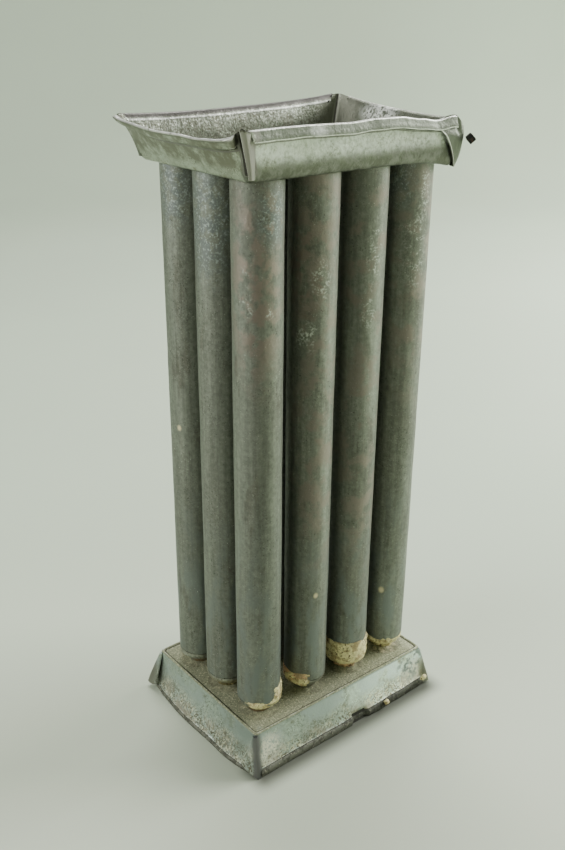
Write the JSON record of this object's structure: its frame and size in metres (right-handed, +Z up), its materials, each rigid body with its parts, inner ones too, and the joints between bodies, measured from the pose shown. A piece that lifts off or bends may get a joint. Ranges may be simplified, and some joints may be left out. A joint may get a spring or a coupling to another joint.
{
  "type": "candle mould",
  "caption": "Tarnished tinplate candle mould: tapered tubes in rows, soldered between a folded tray at the top and a folded base, with open mouths and wick holes.",
  "frame": {"origin": "on the table, under the middle of the whole outline", "axes": "+Z up along the tubes; the long sides of the tray and base run along X; the front long side faces -Y"},
  "size_m": [0.1226, 0.0898, 0.2834],
  "materials": {
    "tray_tin": "tarnished tinplate, satin",
    "base_tin": "tarnished tinplate, dull and dusty",
    "tube_tin": "tarnished tinplate, mottled grey",
    "tip_tin": "tarnished tinplate with traces of tallow",
    "solder": "dull soft solder, dusty",
    "wire_iron": "blackened iron"
  },
  "bodies": {
    "root": {"tray_pan": "tray_tin", "base_pan": "base_tin", "tube_a1": "tube_tin", "tube_a2": "tube_tin", "tube_a3": "tube_tin", "tube_a4": "tube_tin", "tube_b1": "tube_tin", "tube_b2": "tube_tin", "tube_b3": "tube_tin", "tube_b4": "tube_tin", "tube_c1": "tube_tin", "tube_c2": "tube_tin", "tube_c3": "tube_tin", "tube_c4": "tube_tin", "tip_a1": "tip_tin", "tip_a2": "tip_tin", "tip_a3": "tip_tin", "tip_a4": "tip_tin", "tip_b1": "tip_tin", "tip_b2": "tip_tin", "tip_b3": "tip_tin", "tip_b4": "tip_tin", "tip_c1": "tip_tin", "tip_c2": "tip_tin", "tip_c3": "tip_tin", "tip_c4": "tip_tin", "foot_solder_a1": "solder", "foot_solder_a2": "solder", "foot_solder_a3": "solder", "foot_solder_a4": "solder", "foot_solder_b1": "solder", "foot_solder_b2": "solder", "foot_solder_b3": "solder", "foot_solder_b4": "solder", "foot_solder_c1": "solder", "foot_solder_c2": "solder", "foot_solder_c3": "solder", "foot_solder_c4": "solder", "mouth_solder_a1": "solder", "mouth_solder_a2": "solder", "mouth_solder_a3": "solder", "mouth_solder_a4": "solder", "mouth_solder_b1": "solder", "mouth_solder_b2": "solder", "mouth_solder_b3": "solder", "mouth_solder_b4": "solder", "mouth_solder_c1": "solder", "mouth_solder_c2": "solder", "mouth_solder_c3": "solder", "mouth_solder_c4": "solder", "corner_wire": "wire_iron"}
  },
  "joints": []
}
